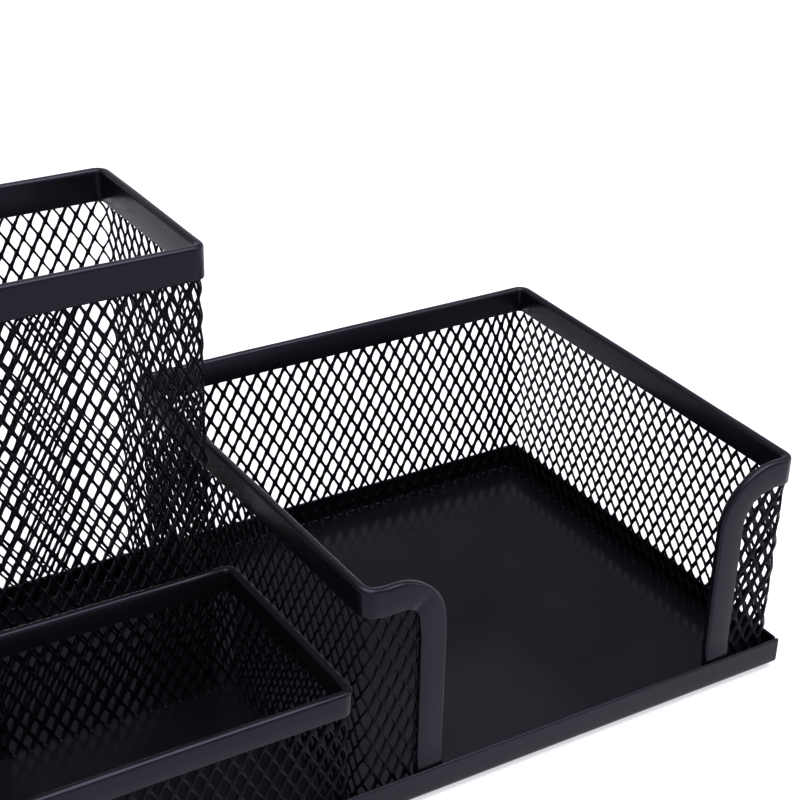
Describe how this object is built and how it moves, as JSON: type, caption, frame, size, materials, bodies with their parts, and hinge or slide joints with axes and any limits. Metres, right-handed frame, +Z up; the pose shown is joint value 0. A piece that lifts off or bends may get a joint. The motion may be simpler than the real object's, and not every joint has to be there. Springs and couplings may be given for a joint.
{
  "type": "desk organizer",
  "caption": "Steel mesh desk organizer: tall divided pen cup, low clip tray and an open-fronted memo tray on one shallow lipped base.",
  "frame": {"origin": "middle of the footprint, on the desk surface that the foot pads stand on", "axes": "+X to the right as seen from the front, +Y to the rear, +Z up"},
  "size_m": [0.205, 0.1026, 0.102],
  "materials": {
    "base_coat": "satin black powder coat on pressed sheet steel",
    "mesh_coat": "satin black powder coat on expanded steel mesh",
    "rim_coat": "satin black powder coat on folded steel channel",
    "foot_pad": "matt black foam pad"
  },
  "bodies": {
    "root": {"base_tray": "base_coat", "memo_mesh": "mesh_coat", "memo_rim": "rim_coat", "pen_mesh": "mesh_coat", "pen_rim": "rim_coat", "divider_mesh": "mesh_coat", "divider_rim": "rim_coat", "clip_mesh": "mesh_coat", "clip_rim": "rim_coat", "foot_front_left": "foot_pad", "foot_front_right": "foot_pad", "foot_rear_left": "foot_pad", "foot_rear_right": "foot_pad"}
  },
  "joints": []
}
